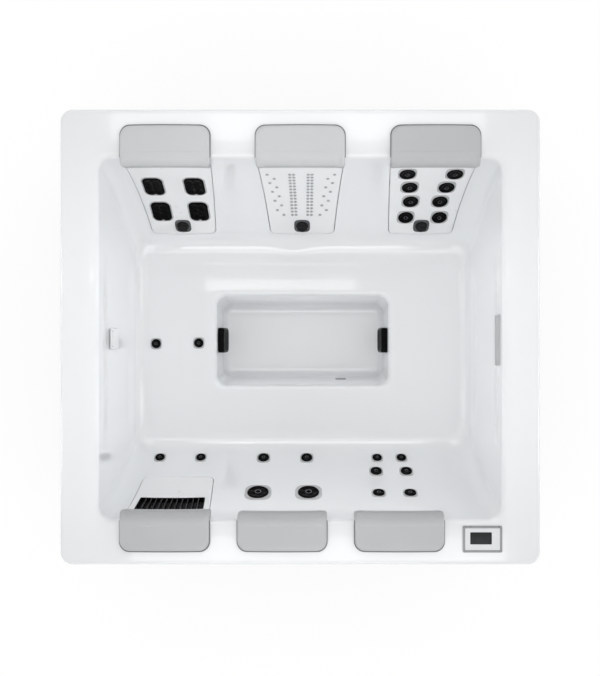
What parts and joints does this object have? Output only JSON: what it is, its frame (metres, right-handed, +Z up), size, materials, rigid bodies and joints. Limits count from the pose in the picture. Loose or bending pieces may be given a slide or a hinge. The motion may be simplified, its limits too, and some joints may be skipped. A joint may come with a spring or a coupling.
{
  "type": "acrylic hot tub",
  "caption": "Square white hot tub with a moulded basin, footwell, removable jet packs, wall jets, rim pillows, keypad and a panelled cabinet.",
  "frame": {"origin": "centre of the tub's footprint, on the floor it stands on", "axes": "+Z up, +Y towards the back wall with the three jet packs, +X towards the wall with the water spout"},
  "size_m": [2.24, 2.125, 0.9489],
  "materials": {
    "shell_white": "glossy white acrylic",
    "pack_white": "satin white moulding",
    "pillow_grey": "soft matt grey foam skin",
    "jet_black": "glossy black moulding",
    "fitting_grey": "satin light grey moulding",
    "screen": "dark gloss screen",
    "cabinet": "matt charcoal boards",
    "trim": "matt black moulding",
    "timber": "sawn softwood",
    "screw": "stainless steel",
    "pipe": "white pipe plastic",
    "media": "pleated filter fabric",
    "pump_plastic": "matt black moulding",
    "motor": "grey paint",
    "heater_steel": "stainless steel",
    "box": "grey powder coat",
    "drain_brass": "brass"
  },
  "bodies": {
    "tub": {"shell": "shell_white", "base_pan": "trim", "frame_rails": "timber", "frame_posts": "timber", "side_panels": "cabinet", "back_panel": "cabinet", "corner_posts": "trim", "panel_screws": "screw", "jet_bodies": "fitting_grey", "filter_housing": "pipe", "keypad_bezel": "fitting_grey", "keypad_screen": "screen", "water_spout": "fitting_grey", "side_fitting": "fitting_grey", "footwell_inlet": "fitting_grey", "suction_covers": "jet_black", "suction_fittings": "pipe", "pump_wet_end": "pump_plastic", "pump_motor": "motor", "circulation_pump": "pump_plastic", "heater": "heater_steel", "control_box": "box", "control_box_lid": "box", "supply_pipes": "pipe", "drain_body": "drain_brass"},
    "pack_left_unit": {"pack_left": "pack_white", "pack_left_jets": "jet_black"},
    "pack_middle_unit": {"pack_middle": "pack_white"},
    "pack_right_unit": {"pack_right": "pack_white", "pack_right_jets": "jet_black"},
    "knob_left_dial": {"knob_left": "jet_black"},
    "pillow_back_left_pad": {"pillow_back_left": "pillow_grey"},
    "knob_middle_dial": {"knob_middle": "jet_black"},
    "pillow_back_middle_pad": {"pillow_back_middle": "pillow_grey"},
    "knob_right_dial": {"knob_right": "jet_black"},
    "pillow_back_right_pad": {"pillow_back_right": "pillow_grey"},
    "filter_door": {"filter_cover": "pack_white", "filter_grille": "jet_black"},
    "pillow_front_left_pad": {"pillow_front_left": "pillow_grey"},
    "pillow_front_middle_pad": {"pillow_front_middle": "pillow_grey"},
    "pillow_front_right_pad": {"pillow_front_right": "pillow_grey"},
    "cartridge": {"filter_cartridge": "media"},
    "jet_face_1_ring": {"jet_face_1": "jet_black"},
    "jet_face_2_ring": {"jet_face_2": "jet_black"},
    "jet_face_3_ring": {"jet_face_3": "jet_black"},
    "jet_face_4_ring": {"jet_face_4": "jet_black"},
    "jet_face_5_ring": {"jet_face_5": "jet_black"},
    "jet_face_6_ring": {"jet_face_6": "jet_black"},
    "jet_face_7_ring": {"jet_face_7": "jet_black"},
    "jet_face_8_ring": {"jet_face_8": "jet_black"},
    "jet_face_9_ring": {"jet_face_9": "jet_black"},
    "jet_face_10_ring": {"jet_face_10": "jet_black"},
    "jet_face_11_ring": {"jet_face_11": "jet_black"},
    "jet_face_12_ring": {"jet_face_12": "jet_black"},
    "jet_face_13_ring": {"jet_face_13": "jet_black"},
    "jet_face_14_ring": {"jet_face_14": "jet_black"},
    "service_panel": {"front_panel": "cabinet"},
    "impeller": {"pump_impeller": "pump_plastic"},
    "drain_lever": {"drain_handle": "drain_brass"}
  },
  "joints": [
    {"name": "pack_left_pull", "type": "slide", "parent": "tub", "child": "pack_left_unit", "axis": [0, -0.8829, 0.4695], "range_m": [0, 0.2]},
    {"name": "knob_left_turn", "type": "hinge", "parent": "pack_left_unit", "child": "knob_left_dial", "pos_m": [-0.632, 0.59333, 0.42231], "axis": [0, -0.7824, 0.6227], "range_deg": [0, 180]},
    {"name": "pillow_back_left_lift", "type": "slide", "parent": "pack_left_unit", "child": "pillow_back_left_pad", "axis": [0, 0, 1], "range_m": [0, 0.12]},
    {"name": "pack_middle_pull", "type": "slide", "parent": "tub", "child": "pack_middle_unit", "axis": [0, -0.8829, 0.4695], "range_m": [0, 0.2]},
    {"name": "knob_middle_turn", "type": "hinge", "parent": "pack_middle_unit", "child": "knob_middle_dial", "pos_m": [0, 0.59333, 0.42231], "axis": [0, -0.7824, 0.6227], "range_deg": [0, 180]},
    {"name": "pillow_back_middle_lift", "type": "slide", "parent": "pack_middle_unit", "child": "pillow_back_middle_pad", "axis": [0, 0, 1], "range_m": [0, 0.12]},
    {"name": "pack_right_pull", "type": "slide", "parent": "tub", "child": "pack_right_unit", "axis": [0, -0.8829, 0.4695], "range_m": [0, 0.2]},
    {"name": "knob_right_turn", "type": "hinge", "parent": "pack_right_unit", "child": "knob_right_dial", "pos_m": [0.632, 0.59333, 0.42231], "axis": [0, -0.7824, 0.6227], "range_deg": [0, 180]},
    {"name": "pillow_back_right_lift", "type": "slide", "parent": "pack_right_unit", "child": "pillow_back_right_pad", "axis": [0, 0, 1], "range_m": [0, 0.12]},
    {"name": "filter_door_pull", "type": "slide", "parent": "tub", "child": "filter_door", "axis": [0, 0.9336, 0.3584], "range_m": [0, 0.2]},
    {"name": "pillow_front_left_lift", "type": "slide", "parent": "filter_door", "child": "pillow_front_left_pad", "axis": [0, 0, 1], "range_m": [0, 0.12]},
    {"name": "pillow_front_middle_lift", "type": "slide", "parent": "tub", "child": "pillow_front_middle_pad", "axis": [0, 0, 1], "range_m": [0, 0.12]},
    {"name": "pillow_front_right_lift", "type": "slide", "parent": "tub", "child": "pillow_front_right_pad", "axis": [0, 0, 1], "range_m": [0, 0.12]},
    {"name": "cartridge_turn", "type": "hinge", "parent": "tub", "child": "cartridge", "pos_m": [-0.638, -0.81873, 0.63881], "axis": [0, 0.9336, 0.3584], "range_deg": [0, 90]},
    {"name": "jet_face_1_turn", "type": "hinge", "parent": "tub", "child": "jet_face_1_ring", "pos_m": [-0.762, -0.64486, 0.386], "axis": [0, 0.8139, 0.5811], "range_deg": [0, 120]},
    {"name": "jet_face_2_turn", "type": "hinge", "parent": "tub", "child": "jet_face_2_ring", "pos_m": [-0.543, -0.64486, 0.386], "axis": [0, 0.8139, 0.5811], "range_deg": [0, 120]},
    {"name": "jet_face_3_turn", "type": "hinge", "parent": "tub", "child": "jet_face_3_ring", "pos_m": [-0.207, -0.64628, 0.388], "axis": [0, 0.815, 0.5794], "range_deg": [0, 120]},
    {"name": "jet_face_4_turn", "type": "hinge", "parent": "tub", "child": "jet_face_4_ring", "pos_m": [0.024, -0.64628, 0.388], "axis": [0, 0.815, 0.5794], "range_deg": [0, 120]},
    {"name": "jet_face_5_turn", "type": "hinge", "parent": "tub", "child": "jet_face_5_ring", "pos_m": [-0.218, -0.7815, 0.636], "axis": [0, 0.9285, 0.3713], "range_deg": [0, 120]},
    {"name": "jet_face_6_turn", "type": "hinge", "parent": "tub", "child": "jet_face_6_ring", "pos_m": [0.036, -0.7815, 0.636], "axis": [0, 0.9285, 0.3713], "range_deg": [0, 120]},
    {"name": "jet_face_7_turn", "type": "hinge", "parent": "tub", "child": "jet_face_7_ring", "pos_m": [0.401, -0.64628, 0.388], "axis": [0, 0.815, 0.5794], "range_deg": [0, 120]},
    {"name": "jet_face_8_turn", "type": "hinge", "parent": "tub", "child": "jet_face_8_ring", "pos_m": [0.531, -0.64628, 0.388], "axis": [0, 0.815, 0.5794], "range_deg": [0, 120]},
    {"name": "jet_face_9_turn", "type": "hinge", "parent": "tub", "child": "jet_face_9_ring", "pos_m": [0.389, -0.70318, 0.476], "axis": [0, 0.8628, 0.5055], "range_deg": [0, 120]},
    {"name": "jet_face_10_turn", "type": "hinge", "parent": "tub", "child": "jet_face_10_ring", "pos_m": [0.547, -0.70318, 0.476], "axis": [0, 0.8628, 0.5055], "range_deg": [0, 120]},
    {"name": "jet_face_11_turn", "type": "hinge", "parent": "tub", "child": "jet_face_11_ring", "pos_m": [0.389, -0.78309, 0.64], "axis": [0, 0.9299, 0.3679], "range_deg": [0, 120]},
    {"name": "jet_face_12_turn", "type": "hinge", "parent": "tub", "child": "jet_face_12_ring", "pos_m": [0.547, -0.78309, 0.64], "axis": [0, 0.9299, 0.3679], "range_deg": [0, 120]},
    {"name": "jet_face_13_turn", "type": "hinge", "parent": "tub", "child": "jet_face_13_ring", "pos_m": [-0.8, -0.034, 0.304], "axis": [0, 0, 1], "range_deg": [0, 120]},
    {"name": "jet_face_14_turn", "type": "hinge", "parent": "tub", "child": "jet_face_14_ring", "pos_m": [-0.567, -0.03, 0.304], "axis": [0, 0, 1], "range_deg": [0, 120]},
    {"name": "service_panel_pull", "type": "slide", "parent": "tub", "child": "service_panel", "axis": [0, -1, 0], "range_m": [0, 0.3]},
    {"name": "impeller_spin", "type": "hinge", "parent": "tub", "child": "impeller", "pos_m": [-0.23, -0.7, 0.17], "axis": [-1, 0, 0], "continuous": true},
    {"name": "drain_lever_turn", "type": "hinge", "parent": "tub", "child": "drain_lever", "pos_m": [-0.9, -1.0115, 0.074], "axis": [0, 0, 1], "range_deg": [0, 90]}
  ]
}
